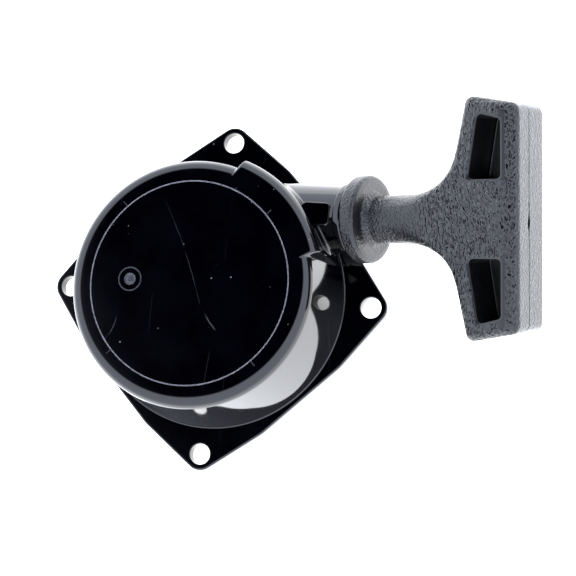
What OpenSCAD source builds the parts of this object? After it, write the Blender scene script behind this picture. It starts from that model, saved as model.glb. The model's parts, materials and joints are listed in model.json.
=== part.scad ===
// Recoil starter for a small two-stroke engine: a moulded housing with a
// four-ear mounting flange, a rope reel with a spiral return spring, outward
// swinging pawls behind a friction plate, and a T-shaped pull handle.
// +Z is the reel's axis, z = 0 is the mounting face, the rope leaves towards +X.

/* [Flange] */
// Thickness of the mounting flange
flange_t = 4.5; // [3.5:0.1:6]
// Diameter of the bolt circle
bolt_pcd = 108; // [104:0.5:112]
// Diameter of the four bolt holes
bolt_hole_d = 7; // [5:0.1:7.5]
// Radius of the rounded ears
ear_r = 5.5; // [5:0.1:7]
// Distance of the flange's blunt corners from the reel's axis
blunt_r = 49.9; // [48:0.1:52]

/* [Housing] */
// Height of the housing above the mounting face
housing_h = 37; // [36:0.5:40]
// Outer radius of the wall where it meets the flange
wall_foot_r = 44.6; // [44:0.1:46]
// Radius of the flat face of the cap
cap_face_r = 36.9; // [36:0.1:39]
// Radius of the rounded edge of the cap
rim_r = 4; // [2.5:0.1:4.5]
// Thickness of the wall and the cap
wall_t = 2.4; // [1.8:0.1:2.6]
// Radius of the fine ring on the cap's face
scribe_r = 33.5; // [30:0.5:35]
// Width of the fine ring and its ticks
scribe_w = 0.45; // [0.3:0.05:0.8]

/* [Rope bulge] */
// Outer radius of the wall beside the rope outlet, at the cap
bulge_r = 44.1; // [43:0.1:44.5]
// Angle at which the bulge starts
bulge_from = 17; // [14:1:20]
// Angle at which the bulge ends
bulge_to = 72; // [66:1:76]

/* [Rope outlet] */
// Distance of the rope's path from the reel's axis
rope_y = 27; // [26:0.1:28]
// Rise of the outlet tube above the flange's plane, in degrees
rope_tilt = 18; // [15:1:20]
// Place of the tube's mouth along X
mouth_x = 50.2; // [49:0.1:52]
// Height of the tube's mouth
mouth_z = 19.2; // [18.5:0.1:20]
// Outer radius of the tube at its mouth
tube_r = 11; // [10.5:0.1:12]
// Outer radius of the rounded lip at the mouth
lip_r = 12.2; // [11.5:0.1:12.8]

/* [Reel] */
// Radius of the post that the reel turns on
post_r = 8; // [7:0.1:8.5]
// Radius of the reel's flanges
reel_r = 33; // [31:0.5:36]
// Diameter of the rope
rope_d = 3.5; // [3:0.1:3.6]
// Number of rope layers on the reel
rope_layers = 3; // [2:1:3]

/* [Springs] */
// Thickness of the return spring's strip
strip_t = 0.6; // [0.4:0.05:0.8]
// Width of the return spring's strip
strip_w = 8.6; // [7:0.1:9]
// Turns of the return spring at rest
strip_turns = 9; // [6:1:10]

/* [Pawls] */
// Distance of the pawl pins from the reel's axis
pawl_pin_r = 19; // [18:0.5:20]
// Length of a pawl from its pin to its tip
pawl_len = 15; // [13:0.5:16]
// Turn of the friction plate that swings the pawls fully out
pawl_turn = 28; // [20:1:30]

/* [Handle] */
// Roll of the handle about the rope, in degrees
handle_roll = 12; // [0:1:20]
// Length of the T-bar
bar_len = 75.6; // [70:0.2:80]
// Thickness of the T-bar
bar_t = 21; // [18:0.5:23]
// Distance from the tube's mouth to the handle's end face
handle_end = 61.1; // [58:0.1:64]
// Radius of the collar that closes the rope outlet
collar_r = 14.4; // [13:0.1:14.5]
// Depth of the two pockets in the T-bar
pocket_depth = 15.5; // [10:0.5:16]

/* [Hidden] */
$fn = 96;

eps = 0.01;
gap = 0.3;
run = 0.06;          // radial running clearance of a bearing
black = "#15161a";
grey = "#6c6d75";
steel = "#a9adb2";
brass_c = "#b9954a";
nylon = "#d9d6c8";
rope_c = "#d8d4c6";

// Flange outline
ear_tangent = 36.7;  // angle of an ear's straight sides from its own direction
blunt_turn = 24.7;   // angle of a blunt corner from the nearest ear
mouth_r = 42.3;      // radius of the opening in the mounting face

// Cap
rim_z = housing_h - rim_r;
wall_lean = 8.2;     // draft of the wall in degrees
rim_out = cap_face_r + rim_r * cos(wall_lean);
rim_out_z = rim_z + rim_r * sin(wall_lean);
cap_in = housing_h - wall_t - 0.1;
scribe_depth = 0.25;
tick_len = 2.2;
gate_x = -20.0;      // centre of the round gate mark
gate_y = -0.2;
well_r = 33.2;       // ring on the cap's inside that locates the spring case
well_z = 31.5;

// Flat pad on top of the outlet tube
pad_x = [33, 42.5];
pad_y = [22.7, 30.3];
pad_z = [21, 28.7];

// Rope outlet, measured along the rope from the mouth
lip_len = 3;
tube_root = 26;
tube_root_r = 12.3;
socket_r = 6.5;
socket_depth = 9;
tube_bore_r = 4.5;

// Reel and what lies beside it, as heights above the mounting face
groove_z = 13.2;
groove_w = 7.6;
reel_flange_t = 1.6;
reel_z0 = groove_z - reel_flange_t;
reel_z1 = groove_z + groove_w + reel_flange_t;
drum_r = 18;
wrap_step = 3.6;     // spacing of the rope's turns
wrap_z = groove_z + 1.9;
hub_r = 13;
hub_z = 8;
sleeve_r = 11;
sleeve_top = 33.4;
case_r = 33;
case_t = 0.8;
case_z = 23.2;
pilot_r = 4.5;
pilot_z = 4.4;
post_z = 7.9;
plate_z = 6.2;
plate_t = 1.4;
plate_r = 27.5;
washer_t = 1.1;
washer_r = 9;
screw_r = 2.45;
screw_head_z = 0.9;
screw_top = 19;
insert_top = 20;
insert_r = 3.6;
knot_r = 3.6;        // knot in the handle
reel_knot_r = 2.7;
knot_at = 14.2;      // distance of the reel's knot pocket from the axis
knot_pocket_r = 3.1;
pin_r = 2;
pin_top = 13.1;
pawl_t = 3.6;
pawl_z = plate_z + plate_t + 0.3;
peg_r = 1.4;
peg_at = 10;         // distance of a pawl's peg from its pin
pawl_rest = -100;    // direction of a folded pawl from its pin's own direction

// Handle, measured along the rope from the mouth
collar_z = 0.7;
collar_t = 5.3;
bar_z = 43;          // stem side of the T-bar
stem_w = 15.1;
stem_t = 14.6;
chamber_z = 33;
chamber_top = 50;
chamber_r = 6;
rope_hole_r = 2.3;
slit_w = 10.4;
slit_t = 2;

// Route of the rope from the reel to the knot in the handle
lead_flat = [[0, 0], [10, 0], [20, 0], [28, 0.02], [33, 0.25], [38, 0.95], [43, 2.25]];

function on_circle(r, a) = [r * cos(a), r * sin(a)];
function rope_point(d) = [mouth_x + d * cos(rope_tilt), rope_y, mouth_z + d * sin(rope_tilt)];

// Points of a ring of radius r around p, square to direction d.
function ring(p, d, r, n) =
    let (t = d / norm(d), s = abs(t[2]) > 0.9 ? [1, 0, 0] : [0, 0, 1],
         u = cross(t, s) / norm(cross(t, s)), v = cross(t, u))
    [for (i = [0:n - 1]) p + r * (u * cos(360 * i / n) + v * sin(360 * i / n))];

// A round rod of radius r along the points of path.
module rod(path, r, n = 10) {
    last = len(path) - 1;
    rings = [for (i = [0:last]) ring(path[i], path[min(i + 1, last)] - path[max(i - 1, 0)], r, n)];
    points = [for (k = rings) for (p = k) p];
    sides = [for (i = [0:last - 1]) for (j = [0:n - 1])
        [i * n + j, i * n + (j + 1) % n, (i + 1) * n + (j + 1) % n, (i + 1) * n + j]];
    caps = [[for (j = [n - 1:-1:0]) j], [for (j = [0:n - 1]) last * n + j]];
    polyhedron(points, concat(sides, caps));
}

// Places its children with Z along the rope, out of the mouth.
module along_rope() {
    translate([mouth_x, rope_y, mouth_z]) rotate([0, 90 - rope_tilt, 0]) children();
}

// A ring of outer radius r, bore radius b and height h, from z = 0.
module washer(r, b, h) {
    difference() {
        cylinder(r = r, h = h);
        translate([0, 0, -1]) cylinder(r = b, h = h + 2);
    }
}

module flange_outline() {
    ear_pcr = bolt_pcd / 2;
    polygon([for (k = [0:3]) for (p = [
        on_circle(blunt_r, 90 * k - blunt_turn),
        on_circle(ear_pcr, 90 * k) + on_circle(ear_r, 90 * k - ear_tangent),
        on_circle(ear_pcr, 90 * k) + on_circle(ear_r, 90 * k + ear_tangent),
        on_circle(blunt_r, 90 * k + blunt_turn)]) p]);
    for (k = [0:3]) translate(on_circle(ear_pcr, 90 * k)) circle(r = ear_r);
}

// Half section of the cap and wall, closed on the axis.
module shell_profile() {
    polygon([[0, 0], [wall_foot_r, 0], [wall_foot_r, flange_t], [rim_out, rim_out_z],
             [cap_face_r, rim_z], [cap_face_r, housing_h], [0, housing_h]]);
    translate([cap_face_r, rim_z]) circle(r = rim_r);
}

module bulge_profile() {
    polygon([[0, 0], [wall_foot_r, 0], [wall_foot_r, flange_t], [bulge_r, rim_z],
             [bulge_r - rim_r, rim_z], [bulge_r - rim_r, housing_h], [0, housing_h]]);
    translate([bulge_r - rim_r, rim_z]) circle(r = rim_r);
}

module cavity_profile() {
    polygon([[0, -1], [mouth_r, -1], [mouth_r, flange_t],
             [rim_out - wall_t + 0.1, cap_in], [0, cap_in]]);
}

module cap_marks() {
    translate([0, 0, housing_h - scribe_depth]) {
        washer(scribe_r + scribe_w / 2, scribe_r - scribe_w / 2, 1);
        for (a = [45:90:315]) rotate(a)
            translate([scribe_r, -scribe_w / 2, 0]) cube([tick_len, scribe_w, 1]);
        rotate(68) translate([scribe_r, -scribe_w / 2, 0]) cube([tick_len / 3, scribe_w, 1]);
        translate([gate_x, gate_y, 0]) washer(3.9, 3.6, 1);
    }
}

module housing() {
    color(black) difference() {
        union() {
            linear_extrude(flange_t) flange_outline();
            rotate_extrude() shell_profile();
            rotate_extrude(angle = bulge_to - bulge_from, start = bulge_from) bulge_profile();
            along_rope() {
                translate([0, 0, -tube_root])
                    cylinder(r1 = tube_root_r, r2 = tube_r, h = tube_root - 1);
                translate([0, 0, -lip_len]) cylinder(r = lip_r, h = lip_len);
            }
            translate([pad_x[0], pad_y[0], pad_z[0]])
                cube([pad_x[1] - pad_x[0], pad_y[1] - pad_y[0], pad_z[1] - pad_z[0]]);
        }
        difference() {
            union() {
                rotate_extrude() cavity_profile();
                rotate_extrude(angle = bulge_to - bulge_from - 6, start = bulge_from + 3)
                    polygon([[20, -1], [mouth_r, -1], [mouth_r, flange_t],
                             [bulge_r - wall_t, cap_in], [20, cap_in]]);
            }
            // post and the ring around the spring case stay solid
            translate([0, 0, post_z]) cylinder(r = post_r, h = housing_h);
            translate([0, 0, well_z]) washer(well_r + 1.6, well_r, 10);
        }
        for (k = [0:3]) rotate(90 * k) translate([bolt_pcd / 2, 0, -1])
            cylinder(d = bolt_hole_d, h = flange_t + 2);
        along_rope() {
            translate([0, 0, -socket_depth]) cylinder(r = socket_r, h = socket_depth + 1);
            translate([0, 0, -tube_root]) cylinder(r = tube_bore_r, h = tube_root);
            translate([0, 0, -19]) cylinder(r1 = 8, r2 = tube_bore_r, h = 6);
        }
        translate([0, 0, post_z - 1]) cylinder(r = insert_r, h = insert_top - post_z + 1);
        cap_marks();
    }
}

// Bell-mouthed bush at the mouth of the outlet tube.
module rope_guide() {
    color(steel) along_rope() translate([0, 0, -socket_depth]) rotate_extrude()
        difference() {
            translate([rope_hole_r + 0.1, 0]) square([socket_r - rope_hole_r - 0.12, socket_depth - 0.1]);
            translate([rope_hole_r, socket_depth - 0.1]) circle(r = 1.8);
            translate([rope_hole_r, 0]) circle(r = 1.8);
        }
}

// Brass bush pressed into the post; its head carries the friction plate.
module post_insert() {
    color(brass_c) difference() {
        union() {
            translate([0, 0, pilot_z]) cylinder(r = pilot_r, h = post_z - pilot_z - 0.02);
            translate([0, 0, pilot_z]) cylinder(r = insert_r - 0.01, h = insert_top - pilot_z);
        }
        translate([0, 0, pilot_z - 1]) cylinder(r = screw_r + 0.02, h = insert_top);
    }
}

// Shallow steel cup that holds the return spring against the cap.
module spring_case() {
    color(steel) difference() {
        translate([0, 0, case_z]) cylinder(r = case_r, h = cap_in - case_z);
        translate([0, 0, case_z + case_t]) cylinder(r = case_r - case_t, h = 20);
        translate([0, 0, case_z - 1]) cylinder(r = sleeve_r + 1, h = 10);
    }
}

function strip_point(t, side) =
    let (r0 = sleeve_r + 0.9, r1 = case_r - case_t - 0.7)
    on_circle(r0 + (r1 - r0) * pow(t, 0.8) + side * strip_t / 2, 40 + 360 * strip_turns * t);

module recoil_spring() {
    steps = strip_turns * 24;
    color("#4c5560") translate([0, 0, case_z + case_t + gap]) linear_extrude(strip_w)
        polygon(concat([for (i = [0:steps]) strip_point(i / steps, 1)],
                       [for (i = [steps:-1:0]) strip_point(i / steps, -1)]));
}

module thrust_washer() {
    color(nylon) translate([0, 0, sleeve_top + 0.1])
        washer(sleeve_r, post_r + run, cap_in - sleeve_top - 0.1);
}

// Rope reel: drum with two flanges, a lower hub for the pawls and a sleeve
// that the return spring hooks onto.
module reel() {
    color(nylon) difference() {
        union() {
            translate([0, 0, reel_z0]) cylinder(r = drum_r, h = reel_z1 - reel_z0);
            translate([0, 0, reel_z0]) cylinder(r = reel_r, h = reel_flange_t);
            translate([0, 0, reel_z1 - reel_flange_t]) cylinder(r = reel_r, h = reel_flange_t);
            translate([0, 0, hub_z]) cylinder(r = hub_r, h = 5);
            translate([0, 0, reel_z0]) cylinder(r = sleeve_r, h = sleeve_top - reel_z0);
        }
        translate([0, 0, hub_z - 1]) cylinder(r = post_r + run, h = 40);
        // pocket and hole of the rope's inner end
        rotate(90) {
            translate([knot_at, 0, hub_z - 1])
                cylinder(r = knot_pocket_r, h = wrap_z + knot_pocket_r - hub_z + 1);
            translate([knot_at, 0, wrap_z]) rotate([0, 90, 0]) cylinder(r = rope_hole_r, h = 8);
        }
        for (k = [0, 180]) rotate(k) translate([pawl_pin_r, 0, hub_z - 1])
            cylinder(r = pin_r, h = pin_top - hub_z + 1);
        // lightening holes in the drum's web
        for (k = [30, 150, 210, 330]) rotate(k) translate([drum_r - 4.2, 0, reel_z0 + 2])
            cylinder(r = 2.2, h = 20);
    }
}

// Turns of rope on the reel; the last turn stops where the lead leaves it.
module rope_wound() {
    first = drum_r + rope_d / 2 + 0.05;
    color(rope_c) {
        for (k = [0:rope_layers - 1]) for (up = [0, 1])
            if (k < rope_layers - 1 || up == 1)
                rotate_extrude() translate([first + wrap_step * k, wrap_z + 3.7 * up]) circle(d = rope_d);
        rotate_extrude(angle = 330, start = 91)
            translate([rope_y, wrap_z]) circle(d = rope_d);
    }
}

// Two crossing lobes of a tight overhand knot.
module knot(r) {
    sphere(r = r);
    rotate([60, 25, 0]) rotate_extrude() translate([r * 0.62, 0]) circle(r = r * 0.47);
    rotate([-50, -30, 0]) rotate_extrude() translate([r * 0.6, 0]) circle(r = r * 0.47);
}

module reel_knot() {
    color(rope_c) rotate(90) translate([knot_at, 0, wrap_z - 0.2]) {
        knot(reel_knot_r);
        rotate([0, 90, 0]) cylinder(d = rope_d, h = drum_r - knot_at - 0.4);
    }
}

module pawl_pin() {
    translate([pawl_pin_r, 0, pawl_z]) cylinder(r = pin_r, h = pin_top - pawl_z - 0.1);
}

module pawl_pin_a() { color(steel) pawl_pin(); }
module pawl_pin_b() { color(steel) rotate(180) pawl_pin(); }

// Folded pawl: round eye on its pin, tapering to a hooked tip, with a peg below.
module pawl() {
    translate([pawl_pin_r, 0, pawl_z]) rotate(pawl_rest) difference() {
        union() {
            cylinder(r = 4, h = pawl_t);
            linear_extrude(pawl_t) polygon([[0, 4], [pawl_len - 2, 2.6], [pawl_len, 1.2],
                [pawl_len - 1, -1.6], [pawl_len * 0.6, -2.6], [0, -4]]);
            translate([peg_at, 0, plate_z - pawl_z - 0.8]) cylinder(r = peg_r, h = pawl_t);
        }
        translate([0, 0, -1]) cylinder(r = pin_r + 0.05, h = pawl_t + 2);
    }
}

module pawl_a() { color("#8a8f96") pawl(); }
module pawl_b() { color("#8a8f96") rotate(180) pawl(); }

// Place of a pawl's peg in the friction plate after the plate has turned by t.
function peg_point(t) =
    let (p = [pawl_pin_r, 0] + on_circle(peg_at, pawl_rest + t))
    on_circle(norm(p), atan2(p[1], p[0]) - t);

module peg_slot() {
    steps = 8;
    path = [for (i = [0:steps]) peg_point(pawl_turn * i / steps)];
    side = [for (i = [0:steps])
        let (d = path[min(i + 1, steps)] - path[max(i - 1, 0)]) [-d[1], d[0]] / norm(d) * (peg_r + gap)];
    polygon(concat([for (i = [0:steps]) path[i] + side[i]],
                   [for (i = [steps:-1:0]) path[i] - side[i]]));
    for (e = [path[0], path[steps]]) translate(e) circle(r = peg_r + gap);
}

module friction_plate() {
    color("#7b8086") translate([0, 0, plate_z]) difference() {
        linear_extrude(plate_t) difference() {
            circle(r = plate_r);
            circle(r = pilot_r + run);
            for (k = [0, 180]) rotate(k) peg_slot();
            for (k = [75, 255]) rotate(k) translate([17, 0]) circle(r = 4.5);
        }
    }
}

module friction_spring() {
    wire = 0.3;
    steps = 30;
    color(steel) rod([for (i = [0:steps]) let (a = 560 * i / steps)
        [6.4 * cos(a), 6.4 * sin(a), pilot_z + wire + 0.03 + 1.14 * i / steps]], wire, 8);
}

module spring_washer() {
    color(steel) translate([0, 0, pilot_z - washer_t]) washer(washer_r, screw_r + 0.2, washer_t);
}

module centre_screw() {
    head = pilot_z - washer_t - screw_head_z;
    color(steel) difference() {
        union() {
            translate([0, 0, screw_head_z]) cylinder(r = 4.8, h = head);
            translate([0, 0, screw_head_z]) cylinder(r = screw_r, h = screw_top - screw_head_z);
        }
        translate([0, 0, screw_head_z - 0.5]) cylinder(r = 2.3, h = 1.9, $fn = 6);
    }
}

// Rope from the reel, through the outlet tube, to the knot in the handle.
module rope_lead() {
    tube_part = [for (p = lead_flat) [p[0], rope_y, wrap_z + p[1]]];
    straight = [for (d = [-2, 8, 18, 28, chamber_z + washer_t]) rope_point(d)];
    color(rope_c) rod(concat(tube_part, straight), rope_d / 2, 12);
}

module handle_knot() {
    color(rope_c) along_rope() translate([0, 0, chamber_z + washer_t + knot_r + 0.6]) {
        knot(knot_r);
        translate([0, 0, -knot_r - 0.6]) cylinder(d = rope_d, h = knot_r);
    }
}

module knot_washer() {
    color(steel) along_rope() translate([0, 0, chamber_z + 0.02])
        washer(chamber_r - 0.3, rope_hole_r, washer_t - 0.1);
}

// Outline of the handle seen square to the T-bar: stem, flared neck and bar.
module handle_outline() {
    half = bar_len / 2;
    side = [[collar_z + 2, stem_w / 2], [12.5, 7.8], [20, 8.15], [24.3, 8.5], [28.6, 9.1], [32, 10.2],
            [34.6, 11.8], [36.9, 14.3], [38.5, 17], [39.6, 20], [41.6, 28.5],
            [bar_z + 0.1, half - 2.3], [bar_z + 1.4, half - 0.5],
            [bar_z + 3.5, half], [handle_end - 2.6, half - 2.3], [handle_end - 0.8, half - 3.4],
            [handle_end, half - 5.5]];
    polygon(concat([for (p = side) [p[1], p[0]]],
                   [for (i = [len(side) - 1:-1:0]) [-side[i][1], side[i][0]]]));
}

// Side view of the handle: the stem thickens towards the bar.
module handle_side() {
    polygon([[-stem_t / 2, 0], [-stem_t / 2, 14], [-bar_t / 2 + 0.6, 30], [-bar_t / 2, 38],
             [-bar_t / 2, handle_end], [bar_t / 2, handle_end], [bar_t / 2, 38],
             [bar_t / 2 - 0.6, 30], [stem_t / 2, 14], [stem_t / 2, 0]]);
}

module handle_pocket() {
    translate([-bar_t / 2 - 1, 0, 0]) rotate([90, 0, 90]) linear_extrude(pocket_depth + 1)
        polygon([[12.4, 45], [32.1, 48.3], [30.3, 55.6], [12.4, 55.6]]);
}

module handle() {
    color(grey) along_rope() rotate(handle_roll) difference() {
        union() {
            intersection() {
                translate([-bar_t / 2, 0, 0]) rotate([90, 0, 90]) linear_extrude(bar_t) handle_outline();
                translate([0, bar_len / 2, 0]) rotate([90, 0, 0]) linear_extrude(bar_len) handle_side();
            }
            translate([0, 0, collar_z]) rotate_extrude() {
                square([collar_r - 1.2, collar_t]);
                translate([0, 1.2]) square([collar_r, collar_t - 2.4]);
                for (z = [1.2, collar_t - 1.2]) translate([collar_r - 1.2, z]) circle(r = 1.2);
            }
        }
        translate([0, 0, -1]) cylinder(r = rope_hole_r, h = chamber_z + 2);
        translate([0, 0, chamber_z]) cylinder(r = chamber_r, h = chamber_top - chamber_z);
        translate([-slit_t / 2, -slit_w / 2, chamber_top - 1]) cube([slit_t, slit_w, handle_end]);
        handle_pocket();
        mirror([0, 1, 0]) handle_pocket();
    }
}

housing();
rope_guide();
post_insert();
spring_case();
recoil_spring();
thrust_washer();
reel();
rope_wound();
reel_knot();
pawl_pin_a();
pawl_pin_b();
pawl_a();
pawl_b();
friction_plate();
friction_spring();
spring_washer();
centre_screw();
rope_lead();
handle_knot();
knot_washer();
handle();
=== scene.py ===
"""Looks of the recoil starter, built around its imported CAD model. Lengths are in millimetres."""

import json
import math

import bmesh
import bpy
import numpy as np
from mathutils import Matrix, Vector


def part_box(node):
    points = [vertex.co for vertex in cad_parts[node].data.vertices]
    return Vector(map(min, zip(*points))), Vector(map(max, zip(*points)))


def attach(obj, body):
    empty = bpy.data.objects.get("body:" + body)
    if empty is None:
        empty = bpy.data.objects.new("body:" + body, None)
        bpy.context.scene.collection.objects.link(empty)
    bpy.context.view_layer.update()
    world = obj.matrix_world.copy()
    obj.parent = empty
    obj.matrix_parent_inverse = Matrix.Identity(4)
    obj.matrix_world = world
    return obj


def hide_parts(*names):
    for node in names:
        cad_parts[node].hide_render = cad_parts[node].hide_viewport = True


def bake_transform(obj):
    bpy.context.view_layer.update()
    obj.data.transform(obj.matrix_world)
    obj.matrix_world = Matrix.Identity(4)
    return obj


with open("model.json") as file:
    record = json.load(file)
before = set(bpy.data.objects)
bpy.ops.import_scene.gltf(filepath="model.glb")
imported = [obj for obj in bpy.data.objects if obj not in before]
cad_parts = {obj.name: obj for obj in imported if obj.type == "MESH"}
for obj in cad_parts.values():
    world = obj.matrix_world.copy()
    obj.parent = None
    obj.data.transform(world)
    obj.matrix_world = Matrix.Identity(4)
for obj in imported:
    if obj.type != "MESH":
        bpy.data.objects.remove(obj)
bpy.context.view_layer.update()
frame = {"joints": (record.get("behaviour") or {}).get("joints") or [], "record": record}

MM = 0.001


# ---------------------------------------------------------------- places taken from the frame

def cad_box(node):
    """Lowest and highest corner of a CAD node, in millimetres."""
    low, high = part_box(node)
    return low / MM, high / MM


JOINTS = {j["name"]: j for j in frame["joints"]}
MOUNTS = {m["name"]: m for m in frame["record"]["mounts"]}
ROPE_DIR = Vector(JOINTS["handle_pull"]["axis"])
MOUTH = Vector(JOINTS["handle_swivel"]["pos_m"]) / MM
ROPE_TILT = math.asin(ROPE_DIR.z)
GRIP_ROLL = math.radians(12)
AT_ROPE = Matrix.Translation(MOUTH) @ Matrix.Rotation(math.pi / 2 - ROPE_TILT, 4, "Y")
AT_GRIP = AT_ROPE @ Matrix.Rotation(GRIP_ROLL, 4, "Z")
BOLT_R = MOUNTS["flange_bolts"]["dims"]["pcd_mm"] / 2
BOLT_HOLE_R = MOUNTS["flange_bolts"]["dims"]["hole_r_mm"]
CAP_Z = cad_box("housing")[1].z
PAWL_PIN_R = JOINTS["pawl_a_swing"]["pos_m"][0] / MM


# ---------------------------------------------------------------- mesh tools

def make_object(name, points, faces, matrix=Matrix(), merge=1e-5):
    """A mesh object from points in millimetres; points closer than merge become one."""
    bm = bmesh.new()
    verts = [bm.verts.new(matrix @ Vector(p)) for p in points]
    for face in faces:
        if len(set(face)) > 2:
            bm.faces.new([verts[i] for i in face])
    bmesh.ops.remove_doubles(bm, verts=bm.verts, dist=merge)
    bmesh.ops.dissolve_degenerate(bm, edges=bm.edges, dist=merge)
    bmesh.ops.recalc_face_normals(bm, faces=bm.faces)
    bmesh.ops.scale(bm, verts=bm.verts, vec=(MM, MM, MM))
    mesh = bpy.data.meshes.new(name)
    bm.to_mesh(mesh)
    bm.free()
    piece = bpy.data.objects.new(name, mesh)
    bpy.context.scene.collection.objects.link(piece)
    return piece


def skin(rings, count, closed=False, wrap=True):
    """Faces between rings of count points; closed joins the last ring to the first, wrap closes each ring."""
    faces = []
    for k in range(rings if closed else rings - 1):
        this, after = k * count, (k + 1) % rings * count
        for i in range(count if wrap else count - 1):
            j = (i + 1) % count
            faces.append((this + i, this + j, after + j, after + i))
    return faces


def edge_levels(radius, start, arcs):
    """(inset, height) steps up a rounded edge that begins at the height start."""
    turns = [math.pi / 2 * k / arcs for k in range(arcs + 1)]
    return [(radius * (1 - math.sin(t)), start + radius * (1 - math.cos(t))) for t in turns]


def rounded(corners, step=math.radians(9)):
    """Closed outline from (x, y, radius) corners, each corner an arc of its radius."""
    points = []
    count = len(corners)
    for i, (x, y, radius) in enumerate(corners):
        here = Vector((x, y))
        back = Vector(corners[i - 1][:2]) - here
        ahead = Vector(corners[(i + 1) % count][:2]) - here
        if radius <= 0 or back.length < 1e-9 or ahead.length < 1e-9:
            points.append((x, y))
            continue
        a, b = back.normalized(), ahead.normalized()
        half = a.angle(b) / 2
        if half > math.radians(89):
            points.append((x, y))
            continue
        reach = min(radius / math.tan(half), 0.499 * back.length, 0.499 * ahead.length)
        radius = reach * math.tan(half)
        centre = here + (a + b).normalized() * (radius / math.sin(half))
        start, end = here + a * reach - centre, here + b * reach - centre
        turn = start.angle_signed(end)
        pieces = max(2, round(abs(turn) / step))
        for k in range(pieces + 1):
            t = -turn * k / pieces
            c, s = math.cos(t), math.sin(t)
            points.append((centre.x + c * start.x - s * start.y, centre.y + s * start.x + c * start.y))
    return points


def revolve(name, loop, steps=128, matrix=Matrix()):
    """A closed (r, z) loop turned about Z."""
    points = []
    count = len(loop)
    for k in range(steps):
        c, s = math.cos(math.tau * k / steps), math.sin(math.tau * k / steps)
        points += [(r * c, r * s, z) for r, z in loop]
    on_axis = [loop[i][0] < 1e-6 and loop[(i + 1) % count][0] < 1e-6 for i in range(count)]
    faces = [face for face in skin(steps, count, closed=True) if not on_axis[face[0] % count]]
    return make_object(name, points, faces, matrix)


def inset(outline, distance):
    """The outline moved inwards; the outline runs anticlockwise."""
    pts = np.array(outline, float)
    before, after = pts - np.roll(pts, 1, 0), np.roll(pts, -1, 0) - pts
    n1 = np.stack([-before[:, 1], before[:, 0]], 1) / np.linalg.norm(before, axis=1)[:, None]
    n2 = np.stack([-after[:, 1], after[:, 0]], 1) / np.linalg.norm(after, axis=1)[:, None]
    n = n1 + n2
    n /= np.linalg.norm(n, axis=1)[:, None]
    cosine = np.clip((n * n1).sum(1), 0.5, 1)
    return [tuple(p) for p in pts + n * (distance / cosine)[:, None]]


def anticlockwise(outline):
    """The outline itself, turned round if it runs clockwise."""
    area = sum(a[0] * b[1] - a[1] * b[0] for a, b in zip(outline, outline[1:] + outline[:1]))
    return outline if area > 0 else outline[::-1]


def prism(name, outline, z0, z1, edge=0.3, matrix=Matrix(), arcs=3):
    """An upright prism whose top and bottom edges are rounded to the radius edge."""
    outline = anticlockwise(list(outline))
    count = len(outline)
    levels = edge_levels(edge, z0, arcs)
    levels += [(i, z1 - (z - z0)) for i, z in reversed(levels)]
    points = []
    for depth, z in levels:
        points += [(x, y, z) for x, y in (inset(outline, depth) if depth > 1e-9 else outline)]
    faces = [tuple(reversed(range(count))), tuple(range((len(levels) - 1) * count, len(levels) * count))]
    return make_object(name, points, faces + skin(len(levels), count), matrix)


def tube(name, path, radius, sides=16, matrix=Matrix()):
    """A round rod along a path, its frame carried along without twist."""
    path = [Vector(p) for p in path]
    last = len(path) - 1
    tangents = [(path[min(i + 1, last)] - path[max(i - 1, 0)]).normalized() for i in range(last + 1)]
    side = tangents[0].orthogonal().normalized()
    points = []
    for p, t in zip(path, tangents):
        side = (side - t * side.dot(t)).normalized()
        other = t.cross(side)
        for k in range(sides):
            a = math.tau * k / sides
            points.append(p + radius * (math.cos(a) * side + math.sin(a) * other))
    ends = [tuple(reversed(range(sides))), tuple(range(last * sides, (last + 1) * sides))]
    return make_object(name, points, skin(last + 1, sides) + ends, matrix)


def cord(name, path, radius, sides=16):
    """A tube that also stores, at each point, its place around and along the cord."""
    piece = tube(name, path, radius, sides)
    lay = piece.data.attributes.new("lay", "FLOAT_VECTOR", "POINT")
    path = [Vector(p) for p in path]
    lengths = [0.0]
    for a, b in zip(path, path[1:]):
        lengths.append(lengths[-1] + (b - a).length)
    for i in range(len(piece.data.vertices)):
        turn = math.tau * (i % sides) / sides
        lay.data[i].vector = (math.cos(turn), math.sin(turn), lengths[i // sides] * MM)
    return piece


def slot_outline(path, radius, arcs=10):
    """Outline of a round-ended slot along a flat path."""
    path = [Vector(p) for p in path]
    last = len(path) - 1
    left, right = [], []
    for i, p in enumerate(path):
        t = (path[min(i + 1, last)] - path[max(i - 1, 0)]).normalized()
        side = Vector((-t.y, t.x))
        left.append(p + side * radius)
        right.append(p - side * radius)
    ends = []
    for p, start in ((path[-1], left[-1] - path[-1]), (path[0], right[0] - path[0])):
        ends.append([p + Matrix.Rotation(-math.pi * k / arcs, 2) @ start for k in range(1, arcs)])
    return [tuple(p) for p in left + ends[0] + right[::-1] + ends[1]]


def smoothstep(t):
    t = min(max(t, 0.0), 1.0)
    return t * t * (3 - 2 * t)


def polar(radius, angle):
    return radius * math.cos(angle), radius * math.sin(angle)


def catmull(points, pieces):
    """A smooth curve through the points, in the plane or in space."""
    pts = [Vector(p) for p in points]
    pts = [2 * pts[0] - pts[1]] + pts + [2 * pts[-1] - pts[-2]]
    out = []
    for a, b, c, d in zip(pts, pts[1:], pts[2:], pts[3:]):
        for k in range(pieces):
            t = k / pieces
            out.append(0.5 * (2 * b + (c - a) * t + (2 * a - 5 * b + 4 * c - d) * t * t
                              + (3 * b - a - 3 * c + d) * t ** 3))
    out.append(Vector(points[-1]))
    return out


def resample(line, count):
    """count points at even distances along the line."""
    pts = np.array(line, float)
    steps = np.r_[0, np.cumsum(np.linalg.norm(np.diff(pts, axis=0), axis=1))]
    at = np.linspace(0, steps[-1], count)
    return [(float(np.interp(t, steps, pts[:, 0])), float(np.interp(t, steps, pts[:, 1]))) for t in at]


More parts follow.
